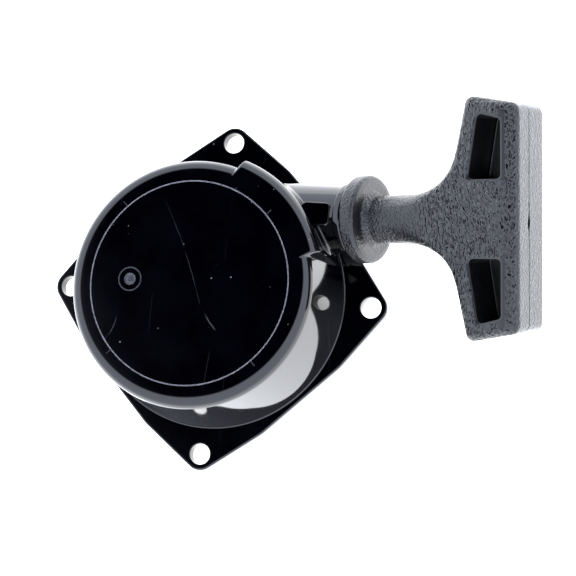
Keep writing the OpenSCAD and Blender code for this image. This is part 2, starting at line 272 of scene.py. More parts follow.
def apply_modifiers(piece):
    """The piece with its modifiers turned into mesh."""
    depsgraph = bpy.context.evaluated_depsgraph_get()
    mesh = bpy.data.meshes.new_from_object(piece.evaluated_get(depsgraph))
    old = piece.data
    piece.modifiers.clear()
    piece.data = mesh
    bpy.data.meshes.remove(old)
    return piece


def combine(piece, others, operation):
    """piece with others added or cut away, one after the other; the others are used up."""
    for other in others:
        modifier = piece.modifiers.new("cut", "BOOLEAN")
        modifier.operation = operation
        modifier.solver = "MANIFOLD"
        modifier.object = other
        apply_modifiers(piece)
        mesh = other.data
        bpy.data.objects.remove(other)
        bpy.data.meshes.remove(mesh)
    return piece


def shade(piece, angle=32, material=None):
    """Smooth shading with creases at sharp edges; flat faces keep their own normals."""
    mesh = piece.data
    mesh.shade_smooth()
    mesh.set_sharp_from_angle(angle=math.radians(angle))
    modifier = piece.modifiers.new("flat faces stay flat", "WEIGHTED_NORMAL")
    modifier.keep_sharp = True
    modifier.weight = 60
    if material:
        mesh.materials.clear()
        mesh.materials.append(material)
    return piece


def stands_for(piece, body, slot, *nodes):
    """Puts the piece on its body and lets it replace the CAD nodes named."""
    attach(piece, body)
    if nodes:
        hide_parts(*nodes)
    return piece


# ---------------------------------------------------------------- materials

class Nodes:
    """Short hand for building one material's node tree."""

    def __init__(self, name):
        self.material = bpy.data.materials.new(name)
        self.material.use_nodes = True
        self.tree = self.material.node_tree
        self.shader = self.tree.nodes["Principled BSDF"]
        self.place = self.add("ShaderNodeTexCoord").outputs["Object"]

    def add(self, kind, **settings):
        node = self.tree.nodes.new(kind)
        for key, value in settings.items():
            setattr(node, key, value)
        return node

    def link(self, source, target):
        self.tree.links.new(source, target)

    def set(self, **values):
        """Sets constants on the shader's own sockets."""
        for key, value in values.items():
            self.shader.inputs[key.replace("_", " ")].default_value = value

    def split(self, vector):
        node = self.add("ShaderNodeSeparateXYZ")
        self.link(vector, node.inputs["Vector"])
        return node.outputs["X"], node.outputs["Y"], node.outputs["Z"]

    def maximum(self, first, *others):
        for other in others:
            first = self.math("MAXIMUM", first, other)
        return first

    def hair(self, x, y, start, end, bow, width, strength):
        """A fine curved line from start to end in the plan view, in millimetres."""
        (x0, y0), (x1, y1) = start, end
        length = math.hypot(x1 - x0, y1 - y0)
        c, s = (x1 - x0) / length, (y1 - y0) / length
        dx, dy = self.math("SUBTRACT", x, x0 * MM), self.math("SUBTRACT", y, y0 * MM)
        along = self.math("ADD", self.math("MULTIPLY", dx, c / MM), self.math("MULTIPLY", dy, s / MM))
        along = self.math("MULTIPLY", along, 1 / length)
        aside = self.math("SUBTRACT", self.math("MULTIPLY", dy, c / MM), self.math("MULTIPLY", dx, s / MM))
        arch = self.math("MULTIPLY", self.math("MULTIPLY", along, self.math("SUBTRACT", 1, along)), 4 * bow)
        wander = self.math("MULTIPLY", self.math("SUBTRACT", self.noise(90, 2), 0.5), 1.1)
        off = self.math("ABSOLUTE", self.math("SUBTRACT", self.math("SUBTRACT", aside, arch), wander))
        line = self.ramp(off, width * 0.3, width, strength, 0)
        ends = self.math("MULTIPLY", self.ramp(along, 0.0, 0.35), self.ramp(along, 0.9, 1.0, 1, 0))
        broken = self.ramp(self.noise(260, 2), 0.3, 0.6)
        return self.math("MULTIPLY", self.math("MULTIPLY", line, ends), broken)

    def from_grip(self):
        """Place in the grip's own frame: Z along the rope from the mouth, X through the bar's thickness."""
        first = self.add("ShaderNodeMapping", vector_type="TEXTURE")
        first.inputs["Location"].default_value = MOUTH * MM
        first.inputs["Rotation"].default_value = (0, math.pi / 2 - ROPE_TILT, 0)
        self.link(self.place, first.inputs["Vector"])
        second = self.add("ShaderNodeMapping", vector_type="TEXTURE")
        second.inputs["Rotation"].default_value = (0, 0, GRIP_ROLL)
        self.link(first.outputs["Vector"], second.inputs["Vector"])
        return second.outputs["Vector"]

    def stretched(self, scale, turn=(0, 0, 0), vector=None):
        node = self.add("ShaderNodeMapping")
        node.inputs["Scale"].default_value = scale
        node.inputs["Rotation"].default_value = turn
        self.link(vector or self.place, node.inputs["Vector"])
        return node.outputs["Vector"]

    def noise(self, scale, detail=3, roughness=0.55, vector=None, distortion=0):
        node = self.add("ShaderNodeTexNoise")
        node.inputs["Scale"].default_value = scale
        node.inputs["Detail"].default_value = detail
        node.inputs["Roughness"].default_value = roughness
        node.inputs["Distortion"].default_value = distortion
        self.link(vector or self.place, node.inputs["Vector"])
        return node.outputs["Fac"]

    def voronoi(self, scale, feature="F1", vector=None):
        node = self.add("ShaderNodeTexVoronoi", feature=feature)
        node.inputs["Scale"].default_value = scale
        self.link(vector or self.place, node.inputs["Vector"])
        return node.outputs["Distance"]

    def ramp(self, source, low, high, first=0.0, last=1.0):
        """source mapped from low..high to first..last, and held beyond."""
        node = self.add("ShaderNodeMapRange")
        for socket, value in zip(("From Min", "From Max", "To Min", "To Max"), (low, high, first, last)):
            node.inputs[socket].default_value = value
        self.link(source, node.inputs["Value"])
        return node.outputs["Result"]

    def math(self, operation, a, b=None):
        node = self.add("ShaderNodeMath", operation=operation)
        for socket, value in zip(node.inputs, (a, b)):
            if value is None:
                continue
            if isinstance(value, (int, float)):
                socket.default_value = value
            else:
                self.link(value, socket)
        return node.outputs["Value"]

    def blend(self, factor, first, second):
        """A number that runs from first to second."""
        node = self.add("ShaderNodeMix", data_type="FLOAT")
        self.link(factor, node.inputs["Factor"])
        self.link(first, node.inputs[2])
        self.link(second, node.inputs[3])
        return node.outputs[0]

    def mix(self, factor, first, second):
        """A colour that runs from first to second."""
        node = self.add("ShaderNodeMix", data_type="RGBA")
        self.link(factor, node.inputs["Factor"])
        for key, value in (("A", first), ("B", second)):
            socket = [s for s in node.inputs if s.name == key and s.type == "RGBA"][0]
            if isinstance(value, tuple):
                socket.default_value = (*value, 1)
            else:
                self.link(value, socket)
        return [s for s in node.outputs if s.type == "RGBA"][0]

    def bump(self, height, distance_mm, strength=1.0, after=None):
        node = self.add("ShaderNodeBump")
        node.inputs["Distance"].default_value = distance_mm * MM
        node.inputs["Strength"].default_value = strength
        self.link(height, node.inputs["Height"])
        if after:
            self.link(after, node.inputs["Normal"])
        return node.outputs["Normal"]

    def finish(self, colour=None, roughness=None, normal=None):
        for source, key in ((colour, "Base Color"), (roughness, "Roughness"), (normal, "Normal")):
            if source:
                self.link(source, self.shader.inputs[key])
        return self.material


def gloss_black():
    """Moulded black nylon: mirror gloss, a slight ripple, hairline scratches, smudges and dust."""
    n = Nodes("gloss_black")
    n.set(IOR=1.5)
    x, y, z = n.split(n.place)
    on_cap = n.ramp(z, (CAP_Z - 0.6) * MM, (CAP_Z - 0.3) * MM)
    long_scratch = n.maximum(n.hair(x, y, (-11, 27), (5.2, -7.8), 0.8, 0.16, 0.35),
                             n.hair(x, y, (6, -8.6), (11, -15), -0.3, 0.34, 0.5),
                             n.hair(x, y, (-23.2, -9.5), (-27, -21), 1.6, 0.2, 0.45))
    smear = n.hair(x, y, (9, -13), (16, -24), 0.2, 1.6, 0.1)
    lines = []
    for turn, density in ((0.4, 30), (1.3, 24), (2.3, 34)):
        cells = n.voronoi(density, "DISTANCE_TO_EDGE", n.stretched((1, 0.12, 1), (0, 0, turn)))
        where = n.ramp(n.noise(45, 1, vector=n.stretched((1, 1, 1), (turn, 1, 2))), 0.6, 0.68)
        lines.append(n.math("MULTIPLY", n.ramp(cells, 0.0, 0.004, 0.14, 0), where))
    scratches = n.maximum(*lines, n.math("MULTIPLY", long_scratch, on_cap))
    coarse = n.ramp(n.voronoi(150), 0.018, 0.05, 1, 0)
    fine = n.ramp(n.voronoi(420), 0.05, 0.09, 0.7, 0)
    dust = n.maximum(n.math("MULTIPLY", coarse, n.ramp(n.noise(70, 2), 0.46, 0.58)),
                     n.math("MULTIPLY", fine, n.ramp(n.noise(95, 3), 0.59, 0.66)))
    smudge = n.ramp(n.noise(60, 5, 0.65), 0.45, 0.75, 0, 0.7)
    smudge = n.math("ADD", smudge, n.math("MULTIPLY", smear, on_cap))
    colour = n.mix(smudge, (0.0001, 0.0001, 0.0006), (0.0008, 0.0010, 0.0020))
    colour = n.mix(scratches, colour, (0.055, 0.057, 0.07))
    colour = n.mix(dust, colour, (0.17, 0.17, 0.18))
    rough = n.math("ADD", n.ramp(n.noise(55, 5), 0.35, 0.8, 0.045, 0.11), n.math("MULTIPLY", scratches, 0.2))
    normal = n.bump(n.noise(140, 2), 0.012, 0.5)
    normal = n.bump(scratches, 0.01, 0.6, normal)
    return n.finish(colour, n.math("ADD", rough, n.math("MULTIPLY", dust, 0.4)), normal)


def cut_plastic(name, pale, dark):
    """The bottom of engraved lines, left matt and pale by the tool."""
    n = Nodes(name)
    marks = n.noise(900, 3)
    return n.finish(n.mix(n.ramp(marks, 0.35, 0.65), pale, dark), n.ramp(marks, 0.3, 0.7, 0.4, 0.6),
                    n.bump(marks, 0.02, 0.5))


def grained_grip():
    """Charcoal plastic with a pebbled leather grain, finer on the stem, and the mould's parting line; the
    grain's ridge tops carry a painted highlight, weaker on the stem.
    """
    n = Nodes("grained_grip")
    n.set(IOR=1.5)
    local = n.from_grip()
    x, y, z = n.split(local)
    across = n.stretched((1, 0.5, 1), vector=local)
    wrinkles = n.ramp(n.noise(1150, 0, 0.5, across, 0.7), 0.34, 0.66)
    fine = n.ramp(n.noise(1300, 0, 0.5, local, 0.4), 0.37, 0.63)
    on_bar = n.ramp(z, 23 * MM, 33 * MM)
    at_root = n.ramp(z, 8 * MM, 16 * MM, 0.5, 0.24)
    on_end = n.ramp(z, (GRIP_END - 1.3) * MM, (GRIP_END - 0.5) * MM)
    radius = n.math("SQRT", n.math("ADD", n.math("MULTIPLY", x, x), n.math("MULTIPLY", y, y)))
    on_collar = n.math("MULTIPLY", n.ramp(radius, 8.6 * MM, 9.4 * MM), n.ramp(z, 12 * MM, 13 * MM, 1, 0))
    on_face = n.ramp(z, (COLLAR_Z + COLLAR_T - 1.0) * MM, (COLLAR_Z + COLLAR_T - 0.5) * MM, 0.3, 0.12)
    by_edge = n.ramp(z, (GRIP_END - 8) * MM, (GRIP_END - 5) * MM, 1, 0.75)
    bar = n.blend(on_end, n.math("MULTIPLY", wrinkles, by_edge), n.math("MULTIPLY", fine, 0.26))
    height = n.blend(on_bar, n.math("MULTIPLY", fine, n.blend(on_collar, at_root, on_face)), bar)
    seam = n.ramp(n.math("ABSOLUTE", n.math("SUBTRACT", x, SEAM_X * MM)), 0.12 * MM, 0.3 * MM, 1, 0)
    seam = n.math("MULTIPLY", seam, n.ramp(n.noise(160, 2), 0.25, 0.5, 0.4, 1))
    # Painted highlight: the grain's ridge tops are coloured lighter, less on the stem than on the bar,
    # standing in for light on the ridges
    lit = n.math("MULTIPLY", n.ramp(wrinkles, 0.75, 1), n.ramp(n.noise(1500, 0, 0.5, local), 0.42, 0.62))
    lit = n.math("MULTIPLY", lit, n.ramp(on_bar, 0, 1, 0.35, 1))
    colour = n.mix(lit, (0.0008, 0.0008, 0.0012), (0.0200, 0.0210, 0.0240))
    colour = n.mix(n.ramp(n.noise(90, 3), 0.35, 0.75, 0, 0.3), colour, (0.0035, 0.0038, 0.005))
    colour = n.mix(seam, colour, (0.001, 0.001, 0.0015))
    softer = n.math("ADD", n.ramp(on_bar, 0, 1, 0.14, 0), n.ramp(on_end, 0, 1, 0, 0.1))
    rough = n.math("ADD", n.ramp(n.noise(400, 3), 0.3, 0.7, 0.15, 0.21), softer)
    normal = n.bump(height, 0.35, 1.0)
    step = n.ramp(x, (SEAM_X - 0.25) * MM, (SEAM_X + 0.25) * MM)
    return n.finish(colour, rough, n.bump(n.math("MULTIPLY", step, on_end), 0.35, 1.0, normal))


def smooth_grip():
    """The same plastic where the mould is polished: pockets, bore and knot chamber."""
    n = Nodes("smooth_grip")
    n.set(IOR=1.48)
    colour = n.mix(n.ramp(n.noise(300, 4), 0.3, 0.7), (0.0010, 0.0010, 0.0016), (0.0028, 0.0028, 0.004))
    return n.finish(colour, n.ramp(n.noise(150, 3), 0.3, 0.7, 0.25, 0.4), n.bump(n.noise(900, 2), 0.02, 0.4))


def nylon(name, pale, dark):
    """Moulded nylon with flow marks and a trace of grease."""
    n = Nodes(name)
    n.set(IOR=1.53, Subsurface_Weight=0.12, Subsurface_Scale=0.002)
    flow = n.noise(60, 4, vector=n.stretched((1, 1, 3)), distortion=1.5)
    colour = n.mix(n.ramp(flow, 0.3, 0.75), pale, dark)
    grease = n.ramp(n.noise(35, 4), 0.58, 0.75)
    colour = n.mix(n.math("MULTIPLY", grease, 0.35), colour, (0.22, 0.19, 0.13))
    rough = n.ramp(n.noise(120, 4), 0.3, 0.7, 0.32, 0.5)
    return n.finish(colour, rough, n.bump(n.noise(1300, 2), 0.015, 0.5))


def metal(name, pale, dark, rough=(0.22, 0.4), grain=(1, 1, 1), pits=0.01):
    """Sheet or turned metal with rolling marks along the long direction of grain."""
    n = Nodes(name)
    n.set(Metallic=1.0)
    marks = n.noise(900, 3, 0.6, n.stretched(grain))
    stains = n.noise(70, 4)
    colour = n.mix(n.ramp(stains, 0.35, 0.7), pale, dark)
    roughness = n.ramp(n.math("ADD", n.math("MULTIPLY", marks, 0.6), n.math("MULTIPLY", stains, 0.4)),
                       0.3, 0.7, *rough)
    return n.finish(colour, roughness, n.bump(marks, pits, 0.6))


def braided_rope(name, with_lay):
    """Braided cord: two families of strands crossing around the rope, with dark tracer flecks and painted
    shade where the strands dip under one another.
    """
    n = Nodes(name)
    n.set(IOR=1.45, Sheen_Weight=0.4, Sheen_Roughness=0.5)
    if with_lay:
        x, y, z = n.split(n.add("ShaderNodeAttribute", attribute_name="lay").outputs["Vector"])
    else:
        straight = n.add("ShaderNodeMapping", vector_type="TEXTURE")
        straight.inputs["Location"].default_value = MOUTH * MM
        straight.inputs["Rotation"].default_value = (0, math.pi / 2 - ROPE_TILT, 0)
        n.link(n.place, straight.inputs["Vector"])
        x, y, z = n.split(straight.outputs["Vector"])
    angle = n.math("ARCTAN2", y, x)
    along = n.math("MULTIPLY", z, math.tau / (4.4 * MM))
    strands = [n.math("SINE", n.math("ADD", n.math("MULTIPLY", angle, 4 * sign), along)) for sign in (1, -1)]
    over = n.math("MAXIMUM", *strands)
    fibres = n.noise(5200, 2)
    height = n.math("ADD", over, n.math("MULTIPLY", fibres, 0.35))
    fleck = n.math("MULTIPLY", n.ramp(strands[0], 0.55, 0.8), n.ramp(strands[1], -0.9, -0.5, 1, 0))
    # Painted shade: the colour follows the strands' height, darker where they dip under one another and
    # lighter where they lie on top
    colour = n.mix(n.ramp(over, -0.2, 0.9), (0.05, 0.047, 0.04), (0.20, 0.19, 0.165))
    colour = n.mix(fleck, colour, (0.006, 0.006, 0.008))
    colour = n.mix(n.ramp(n.noise(240, 3), 0.45, 0.8, 0, 0.3), colour, (0.08, 0.072, 0.06))
    return n.finish(colour, n.ramp(fibres, 0.3, 0.7, 0.75, 0.95), n.bump(height, 0.3, 0.9))


def pale_floor():
    """Lit paper under the object."""
    n = Nodes("pale_floor")
    paper = n.noise(900, 3)
    n.set(Roughness=0.9, Emission_Color=(1, 1, 0.985, 1), Emission_Strength=FLOOR_GLOW)
    return n.finish(n.mix(paper, (0.80, 0.80, 0.80), (0.84, 0.84, 0.84)), None, n.bump(paper, 0.02, 0.2))


# ---------------------------------------------------------------- housing

MOUTH_R = 42.3
FLANGE_T = 4.5
WALL_FOOT_R = 44.6
CAP_FACE_R = 36.9
BULGE_FACE_R = 40.1
RIM_R = 4.0
RIM_Z = CAP_Z - RIM_R
WALL_LEAN = math.radians(8.2)
BULGE_LEAN = math.radians(1.0)
INNER_CAP_Z = CAP_Z - 2.5
POST_R = 8.0
PILOT_R = 4.5
PILOT_Z = 4.4
POST_Z = 7.9
WELL_R = 33.2
SCRIBE_R = 33.5
SCRIBE_W = 0.4
SCRIBE_DEPTH = 0.25
GATE = (-20.0, -0.2)
FOOT_R = 0.9
BULGE_RISE = (15.9, 17.7)
BULGE_FALL = (70.9, 73.4)
TUBE_R = 11.0
TUBE_ROOT_R = 12.3
TUBE_ROOT = 26.0
LIP_R = 12.2
LIP_LEN = 3.0
EAR_R = 5.5
EAR_TANGENT = math.radians(36.7)
BLUNT_R = 49.9
BLUNT_TURN = math.radians(24.7)
BLUNT_ROUND = 14.0


def bulge_share(angle):
    """How much of the bulge stands out of the wall at this angle, in degrees."""
    rise = (angle - BULGE_RISE[0]) / (BULGE_RISE[1] - BULGE_RISE[0])
    fall = (BULGE_FALL[1] - angle) / (BULGE_FALL[1] - BULGE_FALL[0])
    return smoothstep(min(rise, fall))


def wall_section(share):
    """Half section of the cap, wall and post as a closed (r, z) loop, for one share of the bulge."""
    face_r = CAP_FACE_R + share * (BULGE_FACE_R - CAP_FACE_R)
    lean = WALL_LEAN + share * (BULGE_LEAN - WALL_LEAN)
    half = SCRIBE_W / 2
    loop = [(0, CAP_Z), (10, CAP_Z), (20, CAP_Z), (28, CAP_Z), (SCRIBE_R - half, CAP_Z),
            (SCRIBE_R - half * 0.35, CAP_Z - SCRIBE_DEPTH), (SCRIBE_R + half * 0.35, CAP_Z - SCRIBE_DEPTH),
            (SCRIBE_R + half, CAP_Z), (SCRIBE_R + 2.2, CAP_Z), (face_r, CAP_Z)]
    arc = 20
    for k in range(1, arc + 1):
        a = (math.pi / 2 - lean) * k / arc
        loop.append((face_r + RIM_R * math.sin(a), RIM_Z + RIM_R * math.cos(a)))
    top_r, top_z = loop[-1]
    foot_z = FLANGE_T + FOOT_R
    rows = 12
    for k in range(1, rows + 1):
        t = k / rows
        loop.append((top_r + (WALL_FOOT_R - top_r) * t, top_z + (foot_z - top_z) * t))
    for k in range(1, 6):
        a = math.pi / 2 * k / 5
        loop.append((WALL_FOOT_R + FOOT_R * (1 - math.cos(a)), foot_z - (FOOT_R + 0.06) * math.sin(a)))
    inner_r = top_r - 2.3
    loop += [(WALL_FOOT_R + FOOT_R, 1.5), (MOUTH_R + 0.4, 1.5), (MOUTH_R + 0.4, 4.0), (MOUTH_R - 0.1, 5.2),
             (inner_r, INNER_CAP_Z - 1.2), (inner_r - 1.2, INNER_CAP_Z)]
    loop += [(WELL_R + 1.6, INNER_CAP_Z), (WELL_R + 1.6, 31.7), (WELL_R + 1.4, 31.5), (WELL_R + 0.2, 31.5),
             (WELL_R, 31.7), (WELL_R, INNER_CAP_Z),
             (POST_R + 1.6, INNER_CAP_Z), (POST_R + 0.5, INNER_CAP_Z - 0.5),
             (POST_R, INNER_CAP_Z - 1.6), (POST_R, POST_Z + 0.3), (POST_R - 0.3, POST_Z), (PILOT_R, POST_Z),
             (PILOT_R, PILOT_Z + 0.3), (PILOT_R - 0.3, PILOT_Z), (0, PILOT_Z)]
    return loop


def cap_and_wall():
    """The cap, wall, bulge and post as one skin around the reel's axis."""
    angles = [k * 1.25 for k in range(288)]
    for low, high in (BULGE_RISE, BULGE_FALL):
        angles = [a for a in angles if not low - 0.3 < a < high + 0.3]
        angles += [low + (high - low) * k / 8 for k in range(9)]
    angles.sort()
    points = []
    for angle in angles:
        a = math.radians(angle)
        points += [(r * math.cos(a), r * math.sin(a), z) for r, z in wall_section(bulge_share(angle))]
    count = len(wall_section(0))
    return make_object("housing_shell", points, skin(len(angles), count, closed=True, wrap=False))


def flange_outline():
    """Four rounded ears with a blunt corner on either side of each."""
    corners = []
    for k in range(4):
        ear = math.pi / 2 * k
        reach = (BOLT_R * math.cos(EAR_TANGENT) + EAR_R) / math.cos(EAR_TANGENT)
        corners.append((*polar(BLUNT_R, ear - BLUNT_TURN), BLUNT_ROUND))
        corners.append((*polar(reach, ear), EAR_R))
        corners.append((*polar(BLUNT_R, ear + BLUNT_TURN), BLUNT_ROUND))
    return rounded(corners, math.radians(6))


def hole_cutter(place, radius, z0, z1, flare=0.35):
    """A round cutter that opens out a little at both ends, as a moulded hole does."""
    turns = (0.5, 1.0, math.pi / 2)
    loop = [(0, z0 - 1), (radius + flare, z0 - 1), (radius + flare, z0)]
    loop += [(radius + flare * (1 - math.sin(a)), z0 + flare * (1 - math.cos(a))) for a in turns]
    loop += [(radius + flare * (1 - math.sin(a)), z1 - flare * (1 - math.cos(a))) for a in reversed(turns)]
    loop += [(radius + flare, z1), (radius + flare, z1 + 1), (0, z1 + 1)]
    return revolve("hole", loop, 72, Matrix.Translation((*place, 0)))


def flange():
    """The mounting flange with its screw holes and the wide opening for the engine's starter cup."""
    plate = prism("flange", flange_outline(), 0, FLANGE_T, 0.7, arcs=5)
    cutters = [hole_cutter(polar(BOLT_R, math.pi / 2 * k), BOLT_HOLE_R, 0, FLANGE_T) for k in range(4)]
    cutters.append(hole_cutter((0, 0), MOUTH_R, 0, FLANGE_T + 3, 0.5))
    return combine(plate, cutters, "DIFFERENCE")


def outlet_tube():
    """The rope's outlet tube and its rolled lip, cut off inside the housing's wall."""
    lip = rounded([(0, -TUBE_ROOT, 0), (TUBE_ROOT_R, -TUBE_ROOT, 0), (TUBE_R + 0.05, -LIP_LEN - 0.1, 0.5),
                   (LIP_R, -LIP_LEN, 0.9), (LIP_R, 0, 1.0), (0, 0, 0)], math.radians(15))
    body = revolve("outlet", lip, 160, AT_ROPE)
    room = [(0, -5), (MOUTH_R + 0.9, -5), (MOUTH_R + 0.9, FLANGE_T), (40.6, INNER_CAP_Z), (0, INNER_CAP_Z)]
    return combine(body, [revolve("room", room, 128)], "DIFFERENCE")


def wall_radius(z):
    """Outer radius of the bulge's wall at height z."""
    top_r = BULGE_FACE_R + RIM_R * math.cos(BULGE_LEAN)
    top_z = RIM_Z + RIM_R * math.sin(BULGE_LEAN)
    foot_z = FLANGE_T + FOOT_R
    return top_r + (WALL_FOOT_R - top_r) * (top_z - z) / (top_z - foot_z)


def on_tube(turn, depth):
    """Point on the outlet tube's surface, depth below its mouth."""
    radius = TUBE_R + (TUBE_ROOT_R - TUBE_R) * (depth - LIP_LEN) / (TUBE_ROOT - LIP_LEN)
    return AT_ROPE @ Vector((radius * math.cos(turn), radius * math.sin(turn), -depth))


def tube_meets_wall(turn):
    """Point where the tube's line at this turn runs into the wall, found by halving."""
    near, far = LIP_LEN, TUBE_ROOT
    for _ in range(40):
        depth = (near + far) / 2
        p = on_tube(turn, depth)
        if math.hypot(p.x, p.y) > wall_radius(p.z):
            near = depth
        else:
            far = depth
    return on_tube(turn, near), near


def tube_pad():
    """The flat pad on the side of the outlet tube."""
    outline = rounded([(33, 22.7, 1.5), (42.5, 22.7, 1.5), (42.5, 30.3, 1.5), (33, 30.3, 1.5)])
    return prism("pad", outline, 21, 28.7, 0.45)


def tube_fillet(reach=1.9):
    """A concave collar that rounds the corner between the outlet tube and the wall."""
    steps, arcs = 160, 7
    points = []
    for k in range(steps):
        turn = math.tau * k / steps
        corner, depth = tube_meets_wall(turn)
        on_the_tube = on_tube(turn, depth - reach)
        tube_out = (AT_ROPE.to_3x3() @ Vector((math.cos(turn), math.sin(turn), 0))).normalized()
        wall_out = Vector((corner.x, corner.y, 0)).normalized()
        along = (tube_out - wall_out * tube_out.dot(wall_out)).normalized()
        on_wall = corner + along * reach
        scale = wall_radius(on_wall.z) / math.hypot(on_wall.x, on_wall.y)
        on_wall = Vector((on_wall.x * scale, on_wall.y * scale, on_wall.z))
        a = on_wall - wall_out * 0.04
        b = on_the_tube - tube_out * 0.04
        for i in range(arcs + 1):
            t = i / arcs
            points.append((1 - t) ** 2 * a + 2 * t * (1 - t) * corner + t * t * b)
        points.append(corner - (wall_out + tube_out) * 0.8)
    return make_object("fillet", points, skin(steps, arcs + 2, closed=True))


def outlet_bore():
    """Cutter for the rope guide's socket and the bore that opens towards the reel."""
    loop = [(0, 1), (6.9, 1), (6.9, 0), (6.5, -0.4), (6.5, -9), (4.5, -9), (4.5, -14), (8, -20), (9, -27),
            (0, -27)]
    return revolve("bore", loop, 96, AT_ROPE)


def cap_marks():
    """Cutters for the short ticks on the fine ring and the round gate mark."""
    cutters = []
    depth, width = SCRIBE_DEPTH, SCRIBE_W
    ticks = [(45 + 90 * k, 2.2) for k in range(4)] + [(68, 0.9)]
    for angle, length in ticks:
        outline = [(0, -width / 2), (length, -width / 2), (length, width / 2), (0, width / 2)]
        place = Matrix.Rotation(math.radians(angle), 4, "Z")
        place = place @ Matrix.Translation((SCRIBE_R + width / 4, 0, 0))
        cutters.append(prism("tick", outline, CAP_Z - depth, CAP_Z + 0.5, 0.0001, place))
    gate = Matrix.Translation((*GATE, CAP_Z))
    ring = [(3.6, -0.02), (3.8, -0.14), (4.0, -0.02), (4.0, 0.5), (3.6, 0.5)]
    cutters.append(revolve("gate_ring", ring, 72, gate))
    nub = [(0, -0.03), (0.3, -0.04), (0.5, -0.3), (0.75, -0.06), (1.2, -0.05), (1.4, -0.16), (1.8, -0.05),
           (2.0, -0.03), (2.0, 0.5), (0, 0.5)]
    cutters.append(revolve("gate_nub", nub, 48, gate))
    return cutters


def paint_marks(piece):
    """Gives the engraved lines and the gate mark their matt finishes."""
    for face in piece.data.polygons:
        p = face.center / MM
        if not CAP_Z - 0.35 < p.z < CAP_Z - 0.012 or math.hypot(p.x, p.y) > SCRIBE_R + 2.4:
            continue
        from_gate = math.hypot(p.x - GATE[0], p.y - GATE[1])
        on_tick = math.hypot(p.x, p.y) > SCRIBE_R + SCRIBE_W / 2 + 0.05
        face.material_index = 2 if from_gate < 2.3 else 3 if from_gate < 4.3 or on_tick else 1


def housing(*finishes):
    """The whole housing moulding: gloss first, then the ring's, nub's and gate ring's finishes."""
    piece = cap_and_wall()
    combine(piece, [flange(), outlet_tube(), tube_fillet(), tube_pad()], "UNION")
    screw_bore = [(0, 3), (3.0, 3), (2.6, PILOT_Z + 0.4), (2.6, 9), (3.6, 9), (3.6, 20), (2.6, 20), (2.6, 31),
                  (0, 31)]
    combine(piece, [outlet_bore(), revolve("screw_bore", screw_bore, 48)] + cap_marks(), "DIFFERENCE")
    piece.name = "housing_shell"
    shade(piece, 32, finishes[0])
    for finish in finishes[1:]:
        piece.data.materials.append(finish)
    paint_marks(piece)
    return stands_for(piece, "housing", "housing_plastic", "housing")


# ---------------------------------------------------------------- handle

COLLAR_Z = 0.7
COLLAR_T = 5.3
COLLAR_R = 14.4
GRIP_END = 61.1
BAR_HALF = 37.8
BAR_T = 21.0
STEM_T = 14.6
POCKET_DEPTH = 14.6
GRIP_EDGE = 2.6
SEAM_X = -0.8


def grip_side():
    """One side of the stem and T-bar as (width, height above the mouth), up to the end face."""
    flare = [(7.5, 3.0), (7.55, 6.0), (7.8, 12.5), (8.15, 20.0), (8.5, 24.3), (9.1, 28.6), (10.2, 32.0),
             (11.8, 34.6), (14.3, 36.9), (17.0, 38.5), (20.0, 39.6), (24.0, 40.6), (28.5, 41.6), (33.0, 42.6)]
    corner = rounded([(33.0, 42.6, 0), (BAR_HALF + 0.5, 43.75, 2.9), (BAR_HALF - 2.8, GRIP_END, 3.2),
                      (0, GRIP_END, 0)], math.radians(7))
    line = catmull(flare, 8)[:-1] + [p for p in corner if p[0] > 1]
    return resample(line, 130)


def grip_thickness(z):
    """Half thickness of the grip at height z above the tube's mouth."""
    return STEM_T / 2 + (BAR_T - STEM_T) / 2 * smoothstep((z - 11) / 26)


def grip_edge_points(outline):
    """Rings of points up the slab's edge, rounded at front and back and sharper at the end face."""
    half, arcs = BAR_T / 2, 8
    levels = edge_levels(GRIP_EDGE, -half, arcs)
    levels += [(0, (half - GRIP_EDGE) * k / 4) for k in range(-3, 4)]
    levels += [(depth, -x) for depth, x in reversed(levels[:arcs + 1])]
    sharper = [0.4 * smoothstep((z - 56) / (GRIP_END - 56.5)) for y, z in outline]
    points = []
    for depth, x in levels:
        for s, (y, z) in zip(sharper, inset(outline, depth) if depth > 1e-9 else outline):
            deep = half - abs(x)
            kept = deep * (1 - s) if deep < GRIP_EDGE else deep
            points.append((math.copysign(half - kept, x), y, z + depth * s))
    return points, len(levels)


def grip_face(points, base, rows, steps, ring):
    """Quads over the front or back whose outline starts at base; their inner points are added to points."""
    across = len(steps) - 1
    grid = []
    for row in range(rows):
        left, right = base + rows - 1 - row, base + rows + across - 1 + row
        if row == 0:
            line = [base + i for i in range(rows - 1, rows + across)]
        elif row == rows - 1:
            line = [base] + [base + i for i in range(ring - 1, ring - across, -1)] + [right]
        else:
            a, b = Vector(points[left]), Vector(points[right])
            line = [left]
            for t in steps[1:-1]:
                points.append(tuple(a.lerp(b, (t + 1) / 2)))
                line.append(len(points) - 1)
            line.append(right)
        grid.append(line)
    faces = []
    for below, above in zip(grid, grid[1:]):
        faces += [(below[m], below[m + 1], above[m + 1], above[m]) for m in range(across)]
    return faces


def shape_grip(point, widths, heights):
    """Point of the slab moved in: a round stem, a thicker bar and a front crowned towards the end face."""
    x, y, z = point
    u, v = y / float(np.interp(z, heights, widths)), x / (BAR_T / 2)
    u, v = max(-1, min(1, u)), max(-1, min(1, v))
    roundness = 1 - smoothstep((z - 15) / 19)
    du = u * math.sqrt(1 - v * v / 2) - u
    dv = v * math.sqrt(1 - u * u / 2) - v
    crown = 1 - 0.18 * max(0, (z - 54.5) / (GRIP_END - 54.5)) ** 1.4 if x < 0 else 1
    return ((v + dv * roundness) * grip_thickness(z) * crown, y + du * roundness * abs(y / u if u else 0), z)


